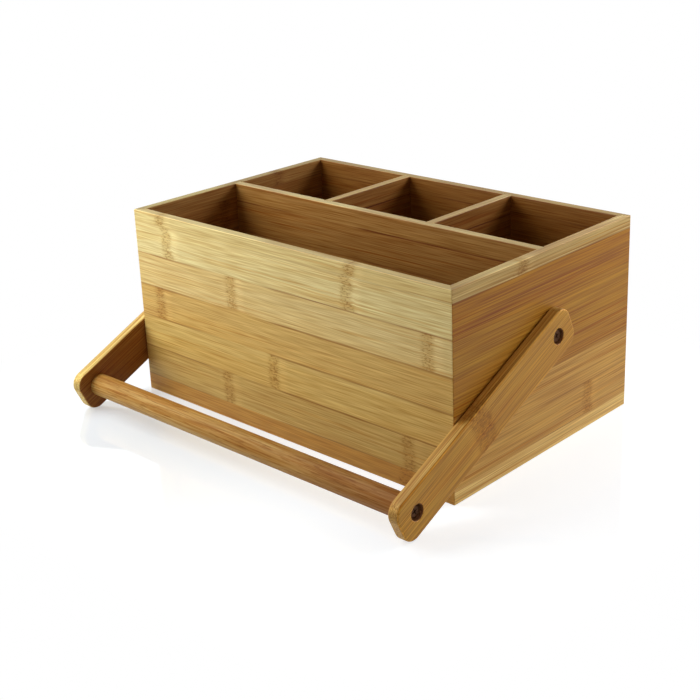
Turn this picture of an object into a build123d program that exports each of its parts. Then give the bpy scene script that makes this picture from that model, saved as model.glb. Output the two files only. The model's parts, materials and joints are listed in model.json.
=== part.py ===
from build123d import *
import math
import os

# A utensil caddy: a box of laminated bamboo boards with four compartments and a carry handle
# that swings from the front of the box, up over it and down behind it.
# Millimetres. X runs along the box, to the right as seen from the front, Y from front to back
# and Z up. The origin is the middle of the box's footprint, on the table.

# Box
box_length = 350.0
box_depth = 229.0
box_height = 166.0
wall = 8.0                  # thickness of the four outer boards
divider = 8.0               # thickness of the three inner boards
base_thickness = 6.0
rabbet = 4.0                # how far the base board reaches into each wall
dado_depth = 2.0            # how far a divider's end is let into the board it meets
glue_line = 0.05            # gap left for glue between boards
board_easing = 0.8          # rounding of the boards' top edges and of the box's upright corners

# Handle
pivot_height = 99.0
pivot_to_dowel = 185.0
arm_width = 36.0
arm_thickness = 9.5
arm_end = 18.5              # from each hole's centre to the nearer end of the arm
arm_corner = 11.0
arm_easing = 1.5
arm_gap = 1.0               # from the end panel to the arm
dowel_diameter = 19.0
dowel_easing = 0.6
table_gap = 0.3             # under the arms' tips, with the handle down

# Screws, washers and their holes
recess_diameter = 13.0
recess_depth = 5.5
recess_easing = 0.4
pivot_shoulder_diameter = 5.0
pivot_thread_diameter = 4.0
pivot_thread_length = 36.0
pivot_head_diameter = 10.5
pivot_head_height = 2.4
head_washer_diameter = 12.0
head_washer_thickness = 0.8
spacer_diameter = 16.0
spacer_thickness = 0.8
dowel_screw_diameter = 4.0
dowel_screw_length = 38.0
dowel_head_diameter = 9.5
dowel_head_height = 2.8
head_easing = 0.8
tip_length = 4.0            # the screws' tapered points
tip_taper = 0.7             # share of the radius that the point loses
drive_span = 5.2            # the cross-shaped drive, from tip to tip
drive_width = 1.1
drive_depth = 1.2
running_clearance = 0.08    # radial, between the pivot screw's shoulder and the arm
axial_play = 0.2            # lets the arm turn between its spacer and the washer
screw_clearance = 0.05      # radial, round a screw or a washer that doesn't turn

# Derived places
inner_length = box_length - 2 * wall
inner_depth = box_depth - 2 * wall
divider_foot = base_thickness + glue_line
divider_height = box_height - divider_foot
compartment_length = (inner_length - 2 * divider) / 3
cross_divider_x = (compartment_length + divider) / 2
back_compartment_depth = (inner_depth - divider) / 2
cross_divider_y = (divider + back_compartment_depth) / 2
arm_web = arm_thickness - recess_depth
washer_seat = arm_gap + arm_web + axial_play
pivot_shoulder_length = washer_seat + head_washer_thickness

FOOT = (Align.CENTER, Align.CENTER, Align.MIN)


def lowered_angle():
    """How far below level the arms hang when their lower corners come down to the table."""
    along = pivot_to_dowel + arm_end - arm_corner
    across = arm_width / 2 - arm_corner
    drop = pivot_height - arm_corner - table_gap
    return math.asin(drop / math.hypot(along, across)) - math.atan2(across, along)


def arm_plane(distance):
    """Plane parallel to the right end panel, that far outside it: x runs down the arm."""
    angle = lowered_angle()
    origin = (box_length / 2 + distance, 0, pivot_height)
    return Plane(origin=origin, x_dir=(0, -math.cos(angle), -math.sin(angle)), z_dir=(1, 0, 0))


def on_left(shape):
    return mirror(shape, about=Plane.YZ)


# --- The box ---------------------------------------------------------------------------------

def wall_ring():
    """The four walls as one ring, with eased edges and the base board's rabbet."""
    ring = Box(box_length, box_depth, box_height, align=FOOT)
    ring = fillet(ring.edges().filter_by(Axis.Z), board_easing)
    ring -= Box(inner_length, inner_depth, box_height, align=FOOT)
    ring = fillet(ring.faces().sort_by(Axis.Z)[-1].edges(), board_easing)
    seat_height = base_thickness + glue_line
    ring -= Box(inner_length + 2 * rabbet, inner_depth + 2 * rabbet, seat_height, align=FOOT)
    return ring


def mitred(ring, length, face_distance, turn):
    """One wall: the part of the ring between two mitre planes, cut a glue line short at each.
    The front wall lies `face_distance` in front of the origin, and `turn` swings it round Z."""
    outside = face_distance + wall
    inside = face_distance - 2 * wall
    half_outside = length / 2 + wall - glue_line
    half_inside = length / 2 - 2 * wall - glue_line
    plan = Polygon(
        (-half_outside, -outside),
        (half_outside, -outside),
        (half_inside, -inside),
        (-half_inside, -inside),
        align=None,
    )
    return ring & (Rot(0, 0, turn) * extrude(plan, box_height))


def dado(x_size, y_size):
    """A groove for a divider's end, open at the top, that leaves a glue line round the divider."""
    return Pos(0, 0, divider_foot - glue_line) * Box(x_size, y_size, box_height, align=FOOT)


def front_panel():
    return mitred(wall_ring(), box_length, box_depth / 2, 0)


def back_panel():
    panel = mitred(wall_ring(), box_length, box_depth / 2, 180)
    groove = dado(divider + 2 * glue_line, 2 * dado_depth)
    for side in (-1, 1):
        panel -= Pos(side * cross_divider_x, inner_depth / 2, 0) * groove
    return panel


def right_end_panel():
    panel = mitred(wall_ring(), box_depth, box_length / 2, 90)
    groove = dado(2 * dado_depth, divider + 2 * glue_line)
    panel -= Pos(inner_length / 2, 0, 0) * groove
    hole = Cylinder(pivot_thread_diameter / 2 + screw_clearance, 4 * wall)
    return panel - Pos(box_length / 2, 0, pivot_height) * Rot(0, 90, 0) * hole


def base_board():
    reach = 2 * rabbet - 2 * glue_line
    return Box(inner_length + reach, inner_depth + reach, base_thickness, align=FOOT)


def eased_board(x_size, y_size, along):
    """A divider with its two long top edges eased."""
    board = Pos(0, 0, divider_foot) * Box(x_size, y_size, divider_height, align=FOOT)
    top_edges = board.faces().sort_by(Axis.Z)[-1].edges().filter_by(along)
    return fillet(top_edges, board_easing)


def long_divider():
    reach = 2 * dado_depth - 2 * glue_line
    board = eased_board(inner_length + reach, divider, Axis.X)
    groove = dado(divider + 2 * glue_line, 2 * dado_depth)
    pilot = Rot(0, 90, 0) * Cylinder(
        pivot_thread_diameter / 2 + screw_clearance,
        2 * (pivot_thread_length + screw_clearance),
    )
    for side in (-1, 1):
        board -= Pos(side * cross_divider_x, divider / 2, 0) * groove
        board -= Pos(side * box_length / 2, 0, pivot_height) * pilot
    return board


def right_cross_divider():
    reach = 2 * dado_depth - 2 * glue_line
    board = eased_board(divider, back_compartment_depth + reach, Axis.Y)
    return Pos(cross_divider_x, cross_divider_y, 0) * board


# --- The handle ------------------------------------------------------------------------------

def right_arm():
    """A round-cornered bar with a recessed hole at each end. Its own z points away from the box."""
    length = pivot_to_dowel + 2 * arm_end
    bar = extrude(RectangleRounded(length, arm_width, arm_corner), arm_thickness)
    rims = bar.faces().sort_by(Axis.Z)[0].edges() + bar.faces().sort_by(Axis.Z)[-1].edges()
    bar = Pos(pivot_to_dowel / 2, 0, 0) * fillet(rims, arm_easing)
    pivot_hole = Cylinder(pivot_shoulder_diameter / 2 + running_clearance, arm_thickness, align=FOOT)
    screw_hole = Cylinder(dowel_screw_diameter / 2 + screw_clearance, arm_thickness, align=FOOT)
    recess = Pos(0, 0, arm_web) * Cylinder(recess_diameter / 2, recess_depth, align=FOOT)
    rim = Cone(recess_diameter / 2, recess_diameter / 2 + recess_easing, recess_easing, align=FOOT)
    recess += Pos(0, 0, arm_thickness - recess_easing) * rim
    bar -= pivot_hole + recess
    bar -= Pos(pivot_to_dowel, 0, 0) * (screw_hole + recess)
    return arm_plane(arm_gap) * bar


def grip_dowel():
    length = box_length + 2 * arm_gap - 2 * glue_line
    dowel = Cylinder(dowel_diameter / 2, length)
    dowel = chamfer(dowel.edges(), dowel_easing)
    pilot_depth = dowel_screw_length - arm_web + screw_clearance
    pilot = Cylinder(dowel_screw_diameter / 2 + screw_clearance, 2 * pilot_depth)
    for end in (-1, 1):
        dowel -= Pos(0, 0, end * (length / 2 + glue_line)) * pilot
    angle = lowered_angle()
    centre = (0, -pivot_to_dowel * math.cos(angle), pivot_height - pivot_to_dowel * math.sin(angle))
    return Pos(*centre) * Rot(0, 90, 0) * dowel


# --- Screws and washers ----------------------------------------------------------------------

def screw(head_diameter, head_height, shanks):
    """A flat-topped round head above z = 0, with a cross-shaped drive, and shanks below it.
    `shanks` lists each stretch as a diameter and a length; the last one ends in a tapered point."""
    body = Cylinder(head_diameter / 2, head_height, align=FOOT)
    body = chamfer(body.edges().group_by(Axis.Z)[-1], head_easing)
    depth = 0.0
    for diameter, length in shanks:
        depth += length
        body += Pos(0, 0, -depth) * Cylinder(diameter / 2, length, align=FOOT)
    point_edge = body.edges().group_by(Axis.Z)[0]
    body = chamfer(point_edge, tip_length, tip_taper * shanks[-1][0] / 2)
    slot = Box(drive_span, drive_width, 2 * drive_depth)
    return body - Pos(0, 0, head_height) * (slot + Rot(0, 0, 90) * slot)


def ring_washer(diameter, bore, thickness):
    disc = Cylinder(diameter / 2, thickness, align=FOOT)
    return disc - Cylinder(bore / 2, thickness, align=FOOT)


def right_pivot_screw():
    shanks = (
        (pivot_shoulder_diameter, pivot_shoulder_length),
        (pivot_thread_diameter, pivot_thread_length),
    )
    return arm_plane(pivot_shoulder_length) * screw(pivot_head_diameter, pivot_head_height, shanks)


def right_pivot_washer():
    bore = pivot_shoulder_diameter + 2 * screw_clearance
    return arm_plane(washer_seat) * ring_washer(head_washer_diameter, bore, head_washer_thickness)


def right_spacer_washer():
    bore = pivot_shoulder_diameter + 2 * screw_clearance
    return arm_plane(0) * ring_washer(spacer_diameter, bore, spacer_thickness)


def right_dowel_screw():
    shanks = ((dowel_screw_diameter, dowel_screw_length),)
    body = screw(dowel_head_diameter, dowel_head_height, shanks)
    return arm_plane(arm_gap + arm_web) * Pos(pivot_to_dowel, 0, 0) * body


# --- Files -----------------------------------------------------------------------------------

parts = {
    "front_panel": front_panel(),
    "back_panel": back_panel(),
    "base_board": base_board(),
    "long_divider": long_divider(),
    "grip_dowel": grip_dowel(),
}
for piece in (
    right_end_panel,
    right_cross_divider,
    right_arm,
    right_pivot_screw,
    right_pivot_washer,
    right_spacer_washer,
    right_dowel_screw,
):
    name = piece.__name__
    parts[name] = piece()
    parts[name.replace("right", "left")] = on_left(parts[name])

os.makedirs("parts", exist_ok=True)
for name, shape in parts.items():
    export_step(shape, f"parts/{name}.step")

print("handle lowered by", round(math.degrees(lowered_angle()), 3), "degrees below level")
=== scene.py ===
import json
import math

import bpy
import numpy as np
from mathutils import Euler, Matrix, Vector


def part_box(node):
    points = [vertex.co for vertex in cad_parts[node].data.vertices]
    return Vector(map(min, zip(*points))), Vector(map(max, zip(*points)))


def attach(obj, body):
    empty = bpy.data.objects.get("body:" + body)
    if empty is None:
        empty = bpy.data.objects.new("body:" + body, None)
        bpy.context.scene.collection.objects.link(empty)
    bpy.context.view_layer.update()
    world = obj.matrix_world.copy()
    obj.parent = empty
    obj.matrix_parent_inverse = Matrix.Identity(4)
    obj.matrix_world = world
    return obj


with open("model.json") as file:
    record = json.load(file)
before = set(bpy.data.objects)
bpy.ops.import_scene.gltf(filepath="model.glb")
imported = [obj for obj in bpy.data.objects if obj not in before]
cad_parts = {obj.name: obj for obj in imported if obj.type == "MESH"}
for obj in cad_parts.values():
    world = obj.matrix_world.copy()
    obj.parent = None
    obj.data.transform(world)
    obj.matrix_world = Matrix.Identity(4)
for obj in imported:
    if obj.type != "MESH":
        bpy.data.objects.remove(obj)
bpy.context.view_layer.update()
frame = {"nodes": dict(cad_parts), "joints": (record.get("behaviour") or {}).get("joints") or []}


# --- The view --------------------------------------------------------------------------------
# A small caddy on a white table, seen from the front right and from a little above. The
# photograph is cut from a wider one, so the lens is shifted a little, and it leans 2 degrees.

PICTURE = 700                          # pixels across the picture, and down it
LENS_DISTANCE = 1307.2                 # pixels from the lens to the picture
LENS_MIDDLE = (372.75, 300.6)          # the pixel that the lens points at
SENSOR = 36.0                          # millimetres
EYE = (0.71012, -0.76982, 0.46293)     # metres
EYE_TURN = (70.284, 1.879, 42.242)     # degrees

view = bpy.data.cameras.new("view")
view.sensor_width = SENSOR
view.lens = LENS_DISTANCE / PICTURE * SENSOR
view.shift_x = (PICTURE / 2 - LENS_MIDDLE[0]) / PICTURE
view.shift_y = (LENS_MIDDLE[1] - PICTURE / 2) / PICTURE
camera = bpy.data.objects.new("view", view)
camera.location = EYE
camera.rotation_euler = Euler([math.radians(angle) for angle in EYE_TURN])
bpy.context.scene.collection.objects.link(camera)
bpy.context.scene.camera = camera
bpy.context.scene.view_settings.view_transform = "Standard"


# --- White table and studio light ------------------------------------------------------------
# A white table with a faint mirror in it runs on into a white room. Soft lamps stand close on
# the left and in front, others behind and at the right, and a weak warm one in front of the
# right end. The room fills in the rest.

TABLE_SIZE = 14.0
TABLE_GAP = 0.0002                     # keeps the table and the box's underside from mingling
TABLE_COLOUR = (0.49, 0.55, 0.60)
TABLE_LIFT = (0.57, 0.78)              # added for the eye only, to bring the table to white
TABLE_MIRROR = (0.18, 0.12)            # share that it mirrors, as the lift on the left and right
LEFT_TO_RIGHT = (-0.12, 0.12)          # where along the box the two change
MIRROR_BLUR = 0.04
UNDER_OBJECT = (0.175, -0.038, 0.152)  # half its length, the middle of its depth and half of it
TABLE_FADES = (0.02, 0.16)             # distances from the object, into plain light
ROOM_LIGHT = 0.12
WHITE = (1, 1, 1)
WARM = (1.0, 0.50, 0.18)
LAMPS = {
    # name: (place in metres, width, watts, colour)
    "near front lamp": ((-0.38, -0.45, 0.42), 0.35, 1.55, WHITE),
    "low front lamp": ((-0.70, -0.75, 0.25), 0.50, 2.2, WHITE),
    "left lamp": ((-1.00, -0.10, 0.50), 0.50, 1.0, WHITE),
    "top left lamp": ((-0.50, -0.20, 0.80), 0.50, 2.7, WHITE),
    "near back lamp": ((0.35, 0.60, 0.45), 0.30, 1.9, WHITE),
    "right back lamp": ((0.75, 0.65, 0.50), 0.50, 2.6, WHITE),
    "low right lamp": ((0.90, 0.35, 0.18), 0.50, 0.72, WHITE),
    "warm front lamp": ((0.175, -0.70, 0.25), 0.40, 0.22, WARM),
}
LAMPS_FACE = (0, 0, 0.08)


def feed(tree, socket, value):
    """Gives an input a link, if the value is a socket, or else a number or a colour."""
    if isinstance(value, bpy.types.NodeSocket):
        tree.links.new(value, socket)
    else:
        socket.default_value = value


def add(tree, kind, inputs=None, **settings):
    """A new shader node, with its settings made and its inputs given numbers or links."""
    made = tree.nodes.new("ShaderNode" + kind)
    for name, value in settings.items():
        setattr(made, name, value)
    for name, value in (inputs or {}).items():
        feed(tree, made.inputs[name], value)
    return made


def calc(tree, operation, *values):
    """One Math node on numbers or sockets; gives its output socket."""
    return add(tree, "Math", dict(enumerate(values)), operation=operation).outputs[0]


def between(tree, amount, start, end):
    """The start where the amount is 0, the end where it is 1, and in proportion elsewhere."""
    return calc(tree, "MULTIPLY_ADD", amount, end - start, start)


def smooth(tree, value, low, high):
    """0 below low, 1 above high, and a smooth step between."""
    step = add(tree, "MapRange", {"Value": value, "From Min": low, "From Max": high})
    step.interpolation_type = "SMOOTHSTEP"
    return step.outputs[0]


def own_place(tree):
    """The point's place on its own piece, in metres."""
    return add(tree, "TexCoord").outputs["Object"]


def parts_of(tree, vector):
    """A vector's X, Y and Z."""
    return add(tree, "SeparateXYZ", {0: vector}).outputs


def new_material(name):
    """An empty material and its node tree."""
    material = bpy.data.materials.new(name)
    material.use_nodes = True
    material.node_tree.nodes.clear()
    return material, material.node_tree


def seen_plainly(tree):
    """1 for rays that come from the eye, straight or by way of something shiny or clear."""
    ray = add(tree, "LightPath").outputs
    shiny = calc(tree, "MAXIMUM", ray["Is Glossy Ray"], ray["Is Transmission Ray"])
    return calc(tree, "MAXIMUM", ray["Is Camera Ray"], shiny)


def table_finish():
    """White, and only faintly mirroring. Away from the object it turns into plain white light
    for the eye, so that the table has no end. A point's distance from the object is the root of
    the sum of two squares: how far it lies beside the object, and how far before or behind."""
    material, tree = new_material("white table")
    paint = add(tree, "BsdfDiffuse", {"Color": (*TABLE_COLOUR, 1)})
    mirror = add(tree, "BsdfGlossy", {"Color": (*WHITE, 1), "Roughness": MIRROR_BLUR})
    eye = seen_plainly(tree)
    place = parts_of(tree, own_place(tree))
    right = smooth(tree, place[0], *LEFT_TO_RIGHT)
    lift = calc(tree, "MULTIPLY", eye, between(tree, right, *TABLE_LIFT))
    near_light = add(tree, "Emission", {"Color": (*WHITE, 1), "Strength": lift})
    near = add(tree, "AddShader", {0: paint.outputs[0], 1: near_light.outputs[0]})
    shine = between(tree, right, *TABLE_MIRROR)
    near = add(tree, "MixShader", {0: shine, 1: near.outputs[0], 2: mirror.outputs[0]})
    half_length, middle, half_depth = UNDER_OBJECT
    beside = calc(tree, "SUBTRACT", calc(tree, "ABSOLUTE", place[0]), half_length)
    before = calc(tree, "ABSOLUTE", calc(tree, "SUBTRACT", place[1], middle))
    before = calc(tree, "SUBTRACT", before, half_depth)
    squares = [calc(tree, "POWER", calc(tree, "MAXIMUM", outside, 0.0), 2.0)
               for outside in (beside, before)]
    away = calc(tree, "SQRT", calc(tree, "ADD", *squares))
    far = calc(tree, "MULTIPLY", eye, smooth(tree, away, *TABLE_FADES))
    far_light = add(tree, "Emission", {"Color": (*WHITE, 1), "Strength": 1.0})
    both = add(tree, "MixShader", {0: far, 1: near.outputs[0], 2: far_light.outputs[0]})
    add(tree, "OutputMaterial", {"Surface": both.outputs[0]})
    return material


table_mesh = bpy.data.meshes.new("white_table")
half = TABLE_SIZE / 2
table_mesh.from_pydata(
    [(x, y, -TABLE_GAP) for x, y in ((-half, -half), (half, -half), (half, half), (-half, half))],
    [], [(0, 1, 2, 3)]
)
table_mesh.materials.append(table_finish())
table = bpy.data.objects.new("white_table", table_mesh)
bpy.context.scene.collection.objects.link(table)

room = bpy.data.worlds.new("white room")
room.use_nodes = True
room.node_tree.nodes.clear()
strength = add(room.node_tree, "MapRange", {
    "Value": seen_plainly(room.node_tree), "To Min": ROOM_LIGHT, "To Max": 1.0})
white = add(room.node_tree, "Background", {"Color": (*WHITE, 1), "Strength": strength.outputs[0]})
add(room.node_tree, "OutputWorld", {"Surface": white.outputs[0]})
bpy.context.scene.world = room

for lamp_name, (place, width, watts, tone) in LAMPS.items():
    lamp = bpy.data.lights.new(lamp_name, "AREA")
    lamp.shape = "DISK"
    lamp.size = width
    lamp.energy = watts
    lamp.color = tone
    stand = bpy.data.objects.new(lamp_name, lamp)
    stand.location = place
    stand.rotation_euler = (Vector(LAMPS_FACE) - Vector(place)).to_track_quat("-Z", "Y").to_euler()
    bpy.context.scene.collection.objects.link(stand)


# --- Box boards ------------------------------------------------------------------------------
# Eight boards of bamboo strips, glued edge to edge, planed and lacquered satin. The walls are
# mitred at the corners, the dividers are let into them, and the base sits in a rabbet.

# Each strip, from the rim down: its lower edge in millimetres, its colour on a 0-255 screen
# scale, its two knuckles in millimetres, and how dark the glue line under it is. Knuckles are
# measured along the board from its middle, and a strip without one has it far outside the board.
NONE = 280
FRONT_STRIPS = (
    (156.0, (220, 196, 127), (-142, 77), 0.25),
    (128.8, (225, 205, 140), (-134, 74), 0.20),
    (99.9, (220, 194, 128), (-56, 152), 0.75),
    (71.7, (210, 173, 96), (-149, NONE), 0.65),
    (42.5, (215, 182, 104), (-10, NONE), 0.60),
    (14.8, (203, 168, 93), (-67, 132), 0.80),
    (0.0, (197, 144, 64), (128, NONE), 0.0),
)
END_STRIPS = (
    (155.6, (202, 167, 102), (-32, NONE), 0.65),
    (126.9, (176, 116, 28), (NONE, NONE), 0.35),
    (98.2, (180, 125, 38), (NONE, NONE), 0.30),
    (69.0, (178, 120, 36), (NONE, NONE), 0.45),
    (40.6, (206, 154, 74), (NONE, NONE), 0.35),
    (12.2, (209, 157, 75), (57, NONE), 0.55),
    (0.0, (238, 195, 116), (NONE, NONE), 0.0),
)
BACK_STRIPS = (
    (152.0, (218, 184, 124), (NONE, NONE), 0.30),
    (124.0, (210, 172, 108), (34, NONE), 0.45),
    (95.5, (214, 180, 118), (-120, 140), 0.35),
    (67.0, (204, 162, 96), (-12, NONE), 0.60),
    (39.0, (208, 168, 102), (70, NONE), 0.40),
    (11.0, (202, 158, 94), (-84, NONE), 0.55),
    (0.0, (196, 150, 86), (NONE, NONE), 0.0),
)
LEFT_STRIPS = (
    (153.0, (214, 180, 120), (50, NONE), 0.40),
    (125.0, (206, 164, 100), (-20, NONE), 0.45),
    (96.0, (212, 174, 112), (NONE, NONE), 0.35),
    (68.0, (200, 156, 92), (84, NONE), 0.55),
    (40.0, (208, 166, 102), (-70, NONE), 0.40),
    (12.0, (200, 156, 90), (6, NONE), 0.50),
    (0.0, (206, 164, 98), (NONE, NONE), 0.0),
)
DIVIDER_STRIPS = (
    (150.0, (206, 166, 104), (NONE, NONE), 0.35),
    (121.5, (198, 154, 92), (NONE, NONE), 1.00),
    (93.0, (204, 160, 98), (NONE, 146), 0.35),
    (65.0, (196, 152, 90), (104, NONE), 0.50),
    (36.0, (202, 158, 96), (-14, NONE), 0.40),
    (8.0, (194, 148, 86), (-126, 84), 0.50),
    (0.0, (200, 156, 94), (NONE, NONE), 0.0),
)
BASE_STRIPS = (
    # from the back edge to the front one
    (194.0, (208, 168, 106), (-60, NONE), 0.35),
    (166.0, (200, 156, 94), (90, NONE), 0.50),
    (137.0, (206, 164, 102), (-130, 40), 0.40),
    (109.0, (198, 152, 90), (NONE, NONE), 0.50),
    (81.0, (204, 160, 98), (-20, NONE), 0.40),
    (53.0, (196, 150, 88), (120, NONE), 0.50),
    (25.0, (202, 158, 96), (-100, NONE), 0.40),
    (0.0, (198, 152, 90), (NONE, NONE), 0.0),
)
KNUCKLE_SPAN = 0.6                     # metres that the knuckle places 0 to 1 stand for
SEED_STEP = 0.37                       # from one strip's own noise to the next one's
SEED_SPAN = 40.0                       # what the strips' seeds 0 to 1 stand for


def colour(red, green, blue):
    """Linear light of a colour given on a 0-255 screen scale."""
    screen = np.array((red, green, blue)) / 255
    return tuple(np.where(screen < 0.04045, screen / 12.92, ((screen + 0.055) / 1.055) ** 2.4))


def node_group(name, inputs, outputs):
    """An empty shader group with named float, vector or colour sockets."""
    kinds = {"float": "NodeSocketFloat", "vector": "NodeSocketVector", "colour": "NodeSocketColor"}
    tree = bpy.data.node_groups.new(name, "ShaderNodeTree")
    for way, sockets in (("INPUT", inputs), ("OUTPUT", outputs)):
        for socket, kind in sockets.items():
            tree.interface.new_socket(socket, in_out=way, socket_type=kinds[kind])
    given, out = tree.nodes.new("NodeGroupInput"), tree.nodes.new("NodeGroupOutput")
    return tree, [given.outputs[socket] for socket in inputs], out


def blend(tree, kind, amount, under, over):
    """One colour laid over another by a Mix node; gives its output socket."""
    mix = add(tree, "Mix", {0: amount, 6: under, 7: over}, data_type="RGBA", blend_type=kind)
    return mix.outputs[2]


def fade(tree, value, low, high):
    """1 below low, 0 above high, and a smooth step between."""
    return calc(tree, "SUBTRACT", 1.0, smooth(tree, value, low, high))


def grain_noise(tree, place, seed, along, across, detail=2.0):
    """Noise drawn out along the fibres: `along` and `across` are its waves per metre."""
    stretch = add(tree, "Mapping", {"Vector": place, "Scale": (along, across, across)})
    return add(tree, "TexNoise", {
        "Vector": stretch.outputs[0], "W": seed, "Scale": 1.0, "Detail": detail,
    }, noise_dimensions="4D").outputs[0]


def fibres_group():
    """Bamboo fibres: short light and dark threads, thin long dark lines where a stretched noise
    crosses its middle, wider bands, warmer and cooler stretches, and bunches of strong streaks.
    The shade is 1 on average, plus what each noise differs from its own average."""
    tree, (place, seed), out = node_group(
        "bamboo fibres",
        {"Place": "vector", "Seed": "float"},
        {"Shade": "float", "Warmth": "float", "Streak": "float", "Height": "float"},
    )
    threads = grain_noise(tree, place, seed, 34, 1250, 0.0)
    middle = grain_noise(tree, place, seed, 14, 560, 1.0)
    bands = grain_noise(tree, place, seed, 3.5, 60)
    warm = grain_noise(tree, place, calc(tree, "ADD", seed, 3.7), 4, 110)
    strong = grain_noise(tree, place, calc(tree, "ADD", seed, 9.1), 8, 620)
    off_middle = calc(tree, "ABSOLUTE", calc(tree, "SUBTRACT", middle, 0.5))
    lines = smooth(tree, off_middle, 0.0, 0.07)
    thread_share, middle_share, line_share, band_share = 1.00, 0.20, 0.13, 0.26
    lines_average = 0.09
    shade = 1 - 0.5 * (thread_share + middle_share + band_share) - lines_average
    for noise, share in ((threads, thread_share), (middle, middle_share),
                         (lines, line_share), (bands, band_share)):
        shade = calc(tree, "MULTIPLY_ADD", noise, share, shade)
    bunches = smooth(tree, bands, 0.38, 0.56)
    streak = calc(tree, "MULTIPLY", smooth(tree, strong, 0.54, 0.62), bunches)
    feed(tree, out.inputs["Shade"], shade)
    feed(tree, out.inputs["Warmth"], smooth(tree, warm, 0.36, 0.66))
    feed(tree, out.inputs["Streak"], streak)
    feed(tree, out.inputs["Height"], threads)
    return tree


# Distances in metres from a knuckle's middle, between which each part of it fades out.
STAIN_ENDS = (0.0015, 0.0095)
DASH_ENDS = (0.0035, 0.0075)
SWERVE_ENDS = (0.002, 0.022)
PALE_MIDDLE = 0.010
PALE_ENDS = (0.001, 0.008)             # from the pale place's own middle
RAGGED = (-0.003, 0.003)               # how far a knuckle's edges wander
RAGGED_WAVES = 110.0                   # per metre
SWERVE = (-0.002, 0.002)               # how far the fibres beside it wander
CLOUDY = (-0.1, 1.5)                   # its stain, where it is thinnest and thickest


def knuckle_group():
    """One knuckle across a strip: a ragged, stained column of dark dashes, a paler place beside
    it, and fibres that swerve round it. `Along` is the distance from its middle. Each part is
    full at that middle, or at the pale place's own, and fades out with the distance. Noises
    break up the stain and the dashes."""
    tree, (along, across, seed), out = node_group(
        "bamboo knuckle",
        {"Along": "float", "Across": "float", "Seed": "float"},
        {"Stain": "float", "Speck": "float", "Pale": "float", "Bend": "float"},
    )
    edge = calc(tree, "MULTIPLY_ADD", across, RAGGED_WAVES, seed)
    ragged = add(tree, "TexNoise", {"W": edge, "Scale": 1.0, "Detail": 3.0}, noise_dimensions="1D")
    near = calc(tree, "ADD", along, between(tree, ragged.outputs[0], *RAGGED))
    gap = calc(tree, "ABSOLUTE", near)
    spot = add(tree, "CombineXYZ", {"X": along, "Y": across, "Z": seed}).outputs[0]

    def dapple(along_waves, across_waves, detail):
        """Noise of so many waves per metre along the strip and across it."""
        stretch = add(tree, "Mapping", {"Vector": spot, "Scale": (along_waves, across_waves, 1)})
        return add(tree, "TexNoise", {
            "Vector": stretch.outputs[0], "Scale": 1.0, "Detail": detail}).outputs[0]

    dashes = dapple(340, 950, 1.0)
    cloud = dapple(110, 160, 2.0)
    speck = calc(tree, "MULTIPLY", smooth(tree, dashes, 0.50, 0.66), fade(tree, gap, *DASH_ENDS))
    stain = calc(tree, "MULTIPLY", fade(tree, gap, *STAIN_ENDS), between(tree, cloud, *CLOUDY))
    from_pale = calc(tree, "ABSOLUTE", calc(tree, "SUBTRACT", near, PALE_MIDDLE))
    bend = calc(tree, "MULTIPLY", fade(tree, gap, *SWERVE_ENDS), between(tree, cloud, *SWERVE))
    feed(tree, out.inputs["Stain"], stain)
    feed(tree, out.inputs["Speck"], speck)
    feed(tree, out.inputs["Pale"], fade(tree, from_pale, *PALE_ENDS))
    feed(tree, out.inputs["Bend"], bend)
    return tree


GLUE_LINE_ENDS = (0.00030, 0.0012)     # metres from the joint
GLUE_BREAKS = 9.0                      # waves per metre of the noise that breaks it


def glue_group():
    """The thin dark line where two strips are glued: nearness to the strip's upper or lower
    edge, times a noise that breaks it along its length."""
    tree, (across, low, high, along, strength), out = node_group(
        "glue line",
        {"Across": "float", "Low": "float", "High": "float", "Along": "float", "Strength": "float"},
        {"Line": "float"},
    )
    below = calc(tree, "ABSOLUTE", calc(tree, "SUBTRACT", across, low))
    above = calc(tree, "ABSOLUTE", calc(tree, "SUBTRACT", high, across))
    line = fade(tree, calc(tree, "MINIMUM", below, above), *GLUE_LINE_ENDS)
    spot = calc(tree, "MULTIPLY_ADD", along, GLUE_BREAKS, low)
    broken = add(tree, "TexNoise", {"W": spot, "Scale": 1.0}, noise_dimensions="1D").outputs[0]
    amount = calc(tree, "MULTIPLY", smooth(tree, broken, 0.3, 0.62), strength)
    feed(tree, out.inputs["Line"], calc(tree, "MULTIPLY", line, amount))
    return tree


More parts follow.
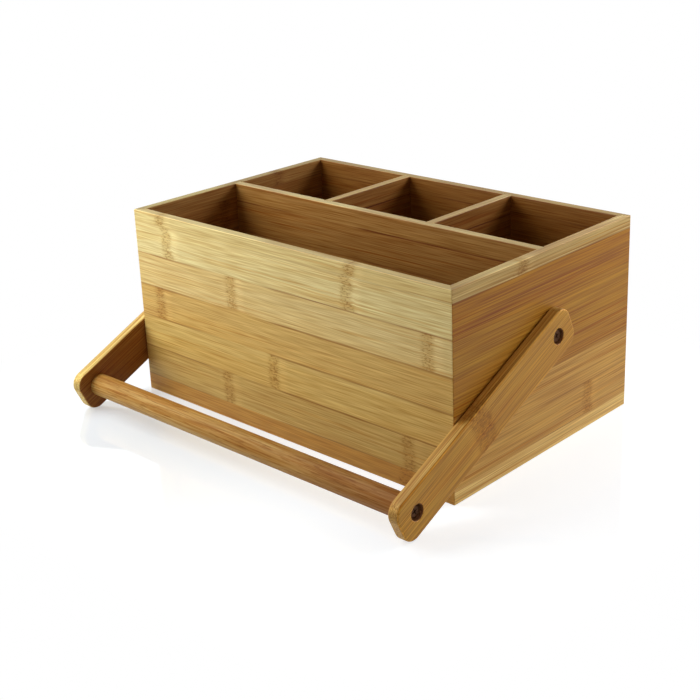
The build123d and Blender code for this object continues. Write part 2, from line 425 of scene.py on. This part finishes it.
def lacquer_group():
    """Lacquered bamboo colour: the strip's colour, shaded by its fibres, stained at knuckles,
    dark at glue lines and pale where an edge is eased, partly wear and partly a painted highlight.
    The shade works least on red and most on blue, so that dark fibres are also browner."""
    tree, given, out = node_group(
        "lacquered bamboo",
        {"Tint": "colour", "Shade": "float", "Warmth": "float", "Streak": "float",
         "Stain": "float", "Speck": "float", "Pale": "float", "Line": "float",
         "Wear_and_highlight": "float"},
        {"Colour": "colour", "Roughness": "float"},
    )
    tint, shade, warmth, streak, stain, speck, pale, line, wear_and_highlight = given
    gains = {name: calc(tree, "MULTIPLY_ADD", shade, gain, 1 - gain)
             for name, gain in (("Red", 0.70), ("Green", 1.05), ("Blue", 1.60))}
    result = blend(tree, "MULTIPLY", 1.0, tint, add(tree, "CombineColor", gains).outputs[0])
    # Each mark, how strongly it is laid on, and the colour it multiplies the wood's by
    for amount, strength, over in (
        (warmth, 0.5, (1.02, 0.92, 0.72)),
        (streak, 1.0, (0.82, 0.60, 0.31)),
        (stain, 0.80, (0.80, 0.68, 0.50)),
        (speck, 0.80, (0.60, 0.45, 0.28)),
        (line, 1.0, (0.46, 0.26, 0.11)),
    ):
        amount = calc(tree, "MULTIPLY", amount, strength)
        result = blend(tree, "MULTIPLY", amount, result, (*over, 1))
    # The lighter places, the knuckles' pale spots and the eased edges, which are worn and also
    # painted as a highlight: how strongly, and how much lighter
    for amount, strength, gain in ((pale, 0.32, 1.22), (wear_and_highlight, 0.8, 1.5)):
        lighter = blend(tree, "MULTIPLY", 1.0, result, (gain, gain * 1.02, gain * 1.10, 1))
        result = blend(tree, "MIX", calc(tree, "MULTIPLY", amount, strength), result, lighter)
    least_rough, rough_by_shade, rough_by_stain = 0.27, 0.18, 0.08
    rough = calc(tree, "MULTIPLY_ADD", shade, rough_by_shade, least_rough)
    rough = calc(tree, "MULTIPLY_ADD", stain, rough_by_stain, rough)
    feed(tree, out.inputs["Colour"], result)
    feed(tree, out.inputs["Roughness"], rough)
    return tree


EASED = (0.86, 0.99)                   # largest part of the direction, on an edge and off it


def wear_and_highlight_group():
    """Where an edge is eased: the largest part of the surface's direction falls below 1 there,
    because it faces none of the board's three ways. Such edges are painted lighter, partly as wear
    and partly as a highlight."""
    tree, (normal,), out = node_group("eased edge", {"Normal": "vector"}, {"Wear_and_highlight": "float"})
    x, y, z = (calc(tree, "ABSOLUTE", part) for part in parts_of(tree, normal))
    largest = calc(tree, "MAXIMUM", calc(tree, "MAXIMUM", x, y), z)
    feed(tree, out.inputs["Wear_and_highlight"], fade(tree, largest, *EASED))
    return tree


fibres = fibres_group()
knuckle = knuckle_group()
glue = glue_group()
lacquer = lacquer_group()
eased = wear_and_highlight_group()


def use(tree, group, inputs):
    """A shader group set into a material, with its inputs given; gives its outputs."""
    return add(tree, "Group", inputs, node_tree=group).outputs


def strip_table(tree, across, top, rows):
    """Looks up a value of three numbers by height on the board: one step for each strip, given
    from the rim down."""
    ramp = add(tree, "ValToRGB", {"Fac": calc(tree, "DIVIDE", across, top)})
    ramp.color_ramp.interpolation = "CONSTANT"
    steps = ramp.color_ramp.elements
    (lowest, value), *higher = reversed(rows)
    steps[0].position, steps[0].color = lowest, (*value, 1)
    steps.remove(steps[1])
    for position, value in higher:
        steps.new(position).color = (*value, 1)
    return ramp.outputs[0]


RELIEF = 0.6                           # how much of the grain's depth shows


def lacquered(tree, finish, height, depth, gloss):
    """Ends a material with the wood's colour and roughness and its grain `depth` metres deep."""
    raised = add(tree, "Bump", {"Height": height, "Distance": depth, "Strength": RELIEF})
    surface = add(tree, "BsdfPrincipled", {
        "Base Color": finish["Colour"],
        "Roughness": finish["Roughness"],
        "Normal": raised.outputs[0],
        "Specular IOR Level": gloss,
    })
    add(tree, "OutputMaterial", {"Surface": surface.outputs[0]})


# How squarely a face looks some way (1 is straight that way), between which it takes on the
# colour for that way.
OUTWARD = (0.2, 0.6)
BACKWARD = (-0.5, -0.9)
UPWARD = (0.6, 0.9)
# Painted light: the span over which a rim's colour turns lighter towards the right and the back.
RIM_LIGHT_SPAN = (-0.13, 0.13)              # where along a board its rim's colour changes, in metres
RIM_STREAKS = 0.2                      # how much of the streaks a rim keeps
HOLE_EDGE = 0.0002                     # over which a recess's colour ends, in metres
GLUE_DENT = -1.2                       # height of a glue line, in grain depths
GRAIN_DEPTH = 0.0001
BAMBOO_GLOSS = 0.20


def bamboo_finish(name, place, strips, top, seed, outward, others, behind=None, rim=None,
                  streaky=1.0, contrast=1.0, longer=1.0, holes=()):
    """Lacquered bamboo strips. `place` makes the socket of a point's (along, across, through)
    in metres, `top` is the height of the uppermost strip's edge, and `seed` its own noise.
    Faces that look `outward` have the strips' own colours. The remaining faces have those colours
    times `others`, or times `behind` where they look the opposite way: this is painted shade for
    the faces inside the box and on an arm's inner face, and painted light and shade on an arm's
    sides.
    `rim` gives the rim's colour at each end of the board, and the change between the two is painted
    light. `streaky` and `contrast` are how strongly the streaks and all the fibres show, and
    `longer` is how much longer than usual the fibres are. `holes` gives each recess's place along
    the board, its radius and the painted shade inside it."""
    material, tree = new_material(name)
    along, across, through = parts_of(tree, place(tree))
    edges, marks, tints = [], [], []
    upper = 1.0
    for number, (lower, tint, knuckles, line) in enumerate(strips):
        first, second = (0.5 + middle / 1000 / KNUCKLE_SPAN for middle in knuckles)
        step = lower / 1000 / top
        edges.append((step, (step, upper, first)))
        marks.append((step, (second, (seed + SEED_STEP * number) % 1.0, line)))
        tints.append((step, colour(*tint)))
        upper = step
    low, high, first = add(
        tree, "SeparateColor", {0: strip_table(tree, across, top, edges)}).outputs
    second, own, strength = add(
        tree, "SeparateColor", {0: strip_table(tree, across, top, marks)}).outputs
    tint = strip_table(tree, across, top, tints)
    own = calc(tree, "MULTIPLY", own, SEED_SPAN)

    pair = []
    for spread in (first, second):
        middle = calc(tree, "MULTIPLY", calc(tree, "SUBTRACT", spread, 0.5), KNUCKLE_SPAN)
        pair.append(use(tree, knuckle, {
            "Along": calc(tree, "SUBTRACT", along, middle), "Across": across, "Seed": own}))
    bend = calc(tree, "ADD", pair[0]["Bend"], pair[1]["Bend"])
    swerved = add(tree, "CombineXYZ", {
        "X": calc(tree, "DIVIDE", along, longer),
        "Y": calc(tree, "ADD", across, bend),
        "Z": through,
    })
    thread = use(tree, fibres, {"Place": swerved.outputs[0], "Seed": own})
    line = use(tree, glue, {
        "Across": across,
        "Low": calc(tree, "MULTIPLY", low, top),
        "High": calc(tree, "MULTIPLY", high, top),
        "Along": along,
        "Strength": strength,
    })[0]

    normal = add(tree, "TexCoord").outputs["Normal"]
    facing = add(tree, "VectorMath", {0: normal, 1: outward}, operation="DOT_PRODUCT")
    facing = facing.outputs["Value"]
    # Painted shade, and on the left arm's sides painted light: faces that don't look outward take
    # copies of the strip colours shaded for how the light falls on them.
    darker = blend(tree, "MULTIPLY", 1.0, tint, (*others, 1))
    if behind is not None:
        rear = blend(tree, "MULTIPLY", 1.0, tint, (*behind, 1))
        darker = blend(tree, "MIX", smooth(tree, facing, *BACKWARD), darker, rear)
    tint = blend(tree, "MIX", smooth(tree, facing, *OUTWARD), darker, tint)
    # Painted shade: the walls and floor of each recess take a dark brown.
    for middle, radius, inside in holes:
        off = add(tree, "CombineXYZ", {"X": calc(tree, "SUBTRACT", along, middle), "Y": across})
        off = add(tree, "VectorMath", {0: off.outputs[0]}, operation="LENGTH").outputs["Value"]
        tint = blend(tree, "MIX", smooth(tree, off, radius + HOLE_EDGE, radius), tint, inside)
    streak = calc(tree, "MULTIPLY", thread["Streak"], streaky)
    if rim is not None:
        up = smooth(tree, parts_of(tree, normal)[2], *UPWARD)
        rim_low, rim_high = ((*colour(*shade), 1) for shade in rim)
        # Painted light: a rim's colour changes from one end to the other, lighter towards the right
        # and the back.
        rim_tint = blend(tree, "MIX", smooth(tree, along, *RIM_LIGHT_SPAN), rim_low, rim_high)
        tint = blend(tree, "MIX", up, tint, rim_tint)
        streak = calc(tree, "MULTIPLY", streak, between(tree, up, 1.0, RIM_STREAKS))

    finish = use(tree, lacquer, {
        "Tint": tint,
        "Shade": calc(tree, "MULTIPLY_ADD", thread["Shade"], contrast, 1 - contrast),
        "Warmth": thread["Warmth"],
        "Streak": streak,
        "Stain": calc(tree, "MAXIMUM", pair[0]["Stain"], pair[1]["Stain"]),
        "Speck": calc(tree, "MAXIMUM", pair[0]["Speck"], pair[1]["Speck"]),
        "Pale": calc(tree, "MAXIMUM", pair[0]["Pale"], pair[1]["Pale"]),
        "Line": line,
        "Wear_and_highlight": use(tree, eased, {"Normal": normal})[0],
    })
    relief = calc(tree, "MULTIPLY_ADD", line, GLUE_DENT, thread["Height"])
    lacquered(tree, finish, relief, GRAIN_DEPTH, BAMBOO_GLOSS)
    return material


def board_place(grain, lowest=0.0):
    """Makes (along the fibres, across them from `lowest`, through the board) from the board's
    own X, Y and Z, named in that order by `grain`."""

    def place(tree):
        """That point in one material's node tree."""
        own = parts_of(tree, own_place(tree))
        turned = {name: own[axis] for name, axis in zip("XYZ", grain)}
        turned["Y"] = calc(tree, "SUBTRACT", turned["Y"], lowest)
        return add(tree, "CombineXYZ", turned).outputs[0]

    return place


def dress(node, material):
    """Gives a CAD piece its finish in every material slot."""
    for slot in frame["nodes"][node].material_slots:
        slot.material = material


box_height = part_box("front_panel")[1].z
# Each board's `others` shading darkens its faces inside the box: painted shade.
BOARDS = {
    "front_panel": dict(
        place=board_place("XZY"), strips=FRONT_STRIPS, seed=0.11,
        outward=(0, -1, 0), others=(0.50, 0.35, 0.20),
        rim=((204, 184, 122), (210, 190, 128)), streaky=0.60, contrast=0.85),
    "back_panel": dict(
        place=board_place("XZY"), strips=BACK_STRIPS, seed=0.23,
        outward=(0, 1, 0), others=(0.40, 0.25, 0.11),
        rim=((170, 144, 88), (186, 156, 92)), streaky=0.9, contrast=1.2),
    "left_end_panel": dict(
        place=board_place("YZX"), strips=LEFT_STRIPS, seed=0.31,
        outward=(-1, 0, 0), others=(0.48, 0.33, 0.19),
        rim=((177, 159, 99), (177, 159, 99)), streaky=0.9, contrast=1.2),
    "right_end_panel": dict(
        place=board_place("YZX"), strips=END_STRIPS, seed=0.47,
        outward=(1, 0, 0), others=(0.50, 0.35, 0.20),
        rim=((197, 170, 106), (246, 222, 152)), streaky=1.4, contrast=1.35, longer=2.0),
    # The dividers have no outer face, so the way out is down, into their glue, and every face of
    # theirs that shows takes the painted shade of the box's inside.
    "long_divider": dict(
        place=board_place("XZY"), strips=DIVIDER_STRIPS, seed=0.59,
        outward=(0, 0, -1), others=(0.64, 0.53, 0.36),
        rim=((200, 181, 125), (212, 190, 127)), contrast=1.2),
    "left_cross_divider": dict(
        place=board_place("YZX"), strips=DIVIDER_STRIPS, seed=0.67,
        outward=(0, 0, -1), others=(0.42, 0.28, 0.15),
        rim=((199, 172, 106), (199, 172, 106)), contrast=1.2),
    "right_cross_divider": dict(
        place=board_place("YZX"), strips=DIVIDER_STRIPS, seed=0.73,
        outward=(0, 0, -1), others=(0.42, 0.28, 0.15),
        rim=((200, 174, 112), (200, 174, 112)), contrast=1.2),
}
for board, look in BOARDS.items():
    dress(board, bamboo_finish(board + " bamboo", top=box_height, **look))

base_low, base_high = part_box("base_board")
# The base board's upper face, inside the box, takes painted shade.
dress("base_board", bamboo_finish(
    "base bamboo", place=board_place("XYZ", base_low.y), strips=BASE_STRIPS,
    top=base_high.y - base_low.y, seed=0.83, outward=(0, 0, -1), others=(0.50, 0.35, 0.20)))


# --- Glue in the mitres ----------------------------------------------------------------------
# A hair of brown glue stands in each of the four mitred corners, so that no light comes through.
# It reaches from just above the base board to just under the rim.

GLUE_DARK = (0.10, 0.050, 0.020, 1)
GLUE_LIGHT = (0.22, 0.120, 0.050, 1)
GLUE_SHEET = 0.000066
GLUE_FOOT = 0.007
EDGE_KEPT_FREE = 0.0006                # the sheet stays this far inside the box's faces
WALL = 0.008
CORNERS = ((-1, -1), (1, -1), (1, 1), (-1, 1))
SHEET_FACES = ((3, 2, 1, 0), (4, 5, 6, 7), (0, 1, 5, 4), (1, 2, 6, 5), (2, 3, 7, 6), (3, 0, 4, 7))

box_low, box_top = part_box("right_end_panel")
box_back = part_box("back_panel")[1].y


def glue_sheets():
    """One mesh of thin upright sheets. Each stands on the line from its outer corner to the
    inner one, a wall's thickness in from both faces. Its four upright edges stand half of
    GLUE_SHEET to either side of the ends of that line, at a right angle to it."""
    signs = np.array(CORNERS)
    corner = np.array((box_top.x, box_back))
    outer = signs * (corner - EDGE_KEPT_FREE)
    inner = signs * (corner - WALL)
    along = (inner - outer) / np.linalg.norm(inner - outer, axis=1, keepdims=True)
    side = np.stack((-along[:, 1], along[:, 0]), axis=1) * GLUE_SHEET / 2
    plan = np.stack((outer - side, inner - side, inner + side, outer + side), axis=1)
    heights = np.array((box_low.z + GLUE_FOOT, box_top.z - EDGE_KEPT_FREE))
    points = np.empty((len(signs), 2, 4, 3))
    points[..., :2] = plan[:, None]
    points[..., 2] = heights[:, None]
    faces = np.array(SHEET_FACES) + 8 * np.arange(len(signs))[:, None, None]
    mesh = bpy.data.meshes.new("mitre_glue")
    mesh.from_pydata(points.reshape(-1, 3).tolist(), [], faces.reshape(-1, 4).tolist())
    return mesh


def mottled_finish(name, waves, dark, light, rough, rougher=0.0, detail=2.0, **shader):
    """Two tones blended by noise of so many waves per metre. The noise adds up to `rougher` to
    the roughness. `shader` gives the shader's other inputs, with _ for a space."""
    material, tree = new_material(name)
    mottle = add(tree, "TexNoise", {
        "Vector": own_place(tree), "Scale": waves, "Detail": detail}).outputs[0]
    tone = add(tree, "ValToRGB", {"Fac": mottle})
    tone.color_ramp.elements[0].color = dark
    tone.color_ramp.elements[1].color = light
    if rougher:
        rough = calc(tree, "MULTIPLY_ADD", mottle, rougher, rough)
    surface = add(tree, "BsdfPrincipled", {
        "Base Color": tone.outputs[0],
        "Roughness": rough,
        **{socket.replace("_", " "): value for socket, value in shader.items()},
    })
    add(tree, "OutputMaterial", {"Surface": surface.outputs[0]})
    return material


mitre_glue = bpy.data.objects.new("mitre_glue", glue_sheets())
bpy.context.scene.collection.objects.link(mitre_glue)
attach(mitre_glue, "box")
mitre_glue.data.materials.append(
    mottled_finish("brown glue", 60.0, GLUE_DARK, GLUE_LIGHT, rough=0.4, rougher=0.3))


# --- Handle arms -----------------------------------------------------------------------------
# Two flat bars sawn from the same bamboo, with round corners and eased edges. Each swings on a
# screw at its upper end, and carries the dowel at its lower end. Both screws sit in recesses.

pivot = Vector(frame["joints"][0]["pos_m"])
dowel_low, dowel_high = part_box("grip_dowel")
dowel_middle = (dowel_low + dowel_high) / 2
down_arm = dowel_middle - pivot
down_arm.x = 0
reach = down_arm.length
down_arm.normalize()

ARM_TOP = 0.020                        # from the arm's middle line to just past its edge
HOLE_RADIUS = 0.0065
# Painted shade: the colour that fills each recess, for the shade in it.
HOLE_PAINTED_SHADE = (0.30, 0.135, 0.055, 1)
HOLES = ((0.0, HOLE_RADIUS, HOLE_PAINTED_SHADE), (reach, HOLE_RADIUS, HOLE_PAINTED_SHADE))
ARMS = {
    # The strips are given as for the boards, across the arm from its middle line and along it
    # from its pivot.
    # The left arm's sides get a creamier, less orange tone for the light from the left, painted
    # light, and its inner face painted shade.
    "left_arm": dict(
        strips=((9.0, (212, 168, 96), (107, 99), 0.30), (-30.0, (208, 162, 90), (106, 97), 0.0)),
        seed=0.15, outward=(-1, 0, 0), others=(0.79, 0.95, 0.88), behind=(0.44, 0.29, 0.18)),
    # The right arm's sides are painted darker and less orange for the box's shade on them, and its
    # inner face, by the box, painted shade.
    "right_arm": dict(
        strips=((9.0, (204, 148, 58), (107, 99), 0.30), (-30.0, (200, 142, 53), (106, 97), 0.0)),
        seed=0.55, outward=(1, 0, 0), others=(0.75, 0.86, 1.25), behind=(0.60, 0.50, 0.60)),
}


def arm_place(tree):
    """(Down the arm from its pivot, across it, through it), from the arm's own place at rest."""
    across_arm = down_arm.cross(Vector((1, 0, 0)))
    turn = Matrix((down_arm, across_arm, (1, 0, 0))).transposed().to_euler()
    return add(tree, "Mapping", {
        "Vector": own_place(tree), "Location": pivot, "Rotation": turn,
    }, vector_type="TEXTURE").outputs[0]


for arm, look in ARMS.items():
    dress(arm, bamboo_finish(
        arm + " bamboo", place=arm_place, top=ARM_TOP, streaky=0.8, contrast=1.6, longer=1.8,
        holes=HOLES, **look))


# --- Grip dowel ------------------------------------------------------------------------------
# A 19 mm round of darker, reddish hardwood between the arms, sanded and lacquered, with long
# straight grain.

# Painted shade: the dowel's colour darkens from its left end to its right one, for the shade there.
DOWEL_LEFT = (184, 145, 81)
DOWEL_RIGHT_SHADED = (162, 114, 62)
DOWEL_SHADE_SPAN = (0.0, 0.18)            # where along the dowel the one colour becomes the other
DOWEL_SEED = 7.3
DOWEL_GRAIN_DEPTH = 0.00015
DOWEL_GLOSS = 0.08


def dowel_finish():
    """Hardwood with long open grain: fine threads, dark pores drawn out along the dowel, small
    flecks, and broad redder stretches. Its colour darkens towards its right end: painted shade."""
    material, tree = new_material("dowel hardwood")
    own = own_place(tree)
    place = add(tree, "Mapping", {"Vector": own, "Location": -dowel_middle}).outputs[0]
    thread = use(tree, fibres, {"Place": place, "Seed": DOWEL_SEED})
    pores = grain_noise(tree, place, 2.4, 26, 640)
    flecks = grain_noise(tree, place, 8.8, 90, 900, 1.0)
    stretches = grain_noise(tree, place, 5.1, 6, 180)
    to_right = smooth(tree, parts_of(tree, own)[0], *DOWEL_SHADE_SPAN)
    left, right = ((*colour(*shade), 1) for shade in (DOWEL_LEFT, DOWEL_RIGHT_SHADED))
    finish = use(tree, lacquer, {
        "Tint": blend(tree, "MIX", to_right, left, right),
        "Shade": thread["Shade"],
        "Warmth": calc(tree, "MULTIPLY", smooth(tree, stretches, 0.40, 0.62), 1.6),
        "Streak": calc(tree, "MULTIPLY", smooth(tree, pores, 0.50, 0.62), 0.6),
        "Stain": smooth(tree, stretches, 0.52, 0.62),
        "Speck": calc(tree, "MULTIPLY", smooth(tree, flecks, 0.56, 0.68), 0.7),
        "Pale": smooth(tree, pores, 0.46, 0.32),
        "Line": 0.0,
        "Wear_and_highlight": 0.0,
    })
    lacquered(tree, finish, pores, DOWEL_GRAIN_DEPTH, DOWEL_GLOSS)
    return material


dress("grip_dowel", dowel_finish())


# --- Screws, washers and spacers -------------------------------------------------------------
# Blackened steel screws sit deep in the arms' recesses, the two pivot screws on washers. A thin
# dark spacer keeps each arm off the box.

STEEL_DARK = (0.052, 0.020, 0.007, 1)
STEEL_LIGHT = (0.155, 0.064, 0.024, 1)
SPACER_DARK = (0.030, 0.020, 0.014, 1)
SPACER_LIGHT = (0.055, 0.038, 0.026, 1)

steel = mottled_finish(
    "blackened steel", 900.0, STEEL_DARK, STEEL_LIGHT, rough=0.25, rougher=0.25, detail=3.0,
    Metallic=0.2, Specular_IOR_Level=0.05)
spacer = mottled_finish("dark spacer", 600.0, SPACER_DARK, SPACER_LIGHT, rough=0.6)
for side in ("left", "right"):
    for piece in ("pivot_screw", "pivot_washer", "dowel_screw"):
        dress(f"{side}_{piece}", steel)
    dress(f"{side}_spacer_washer", spacer)
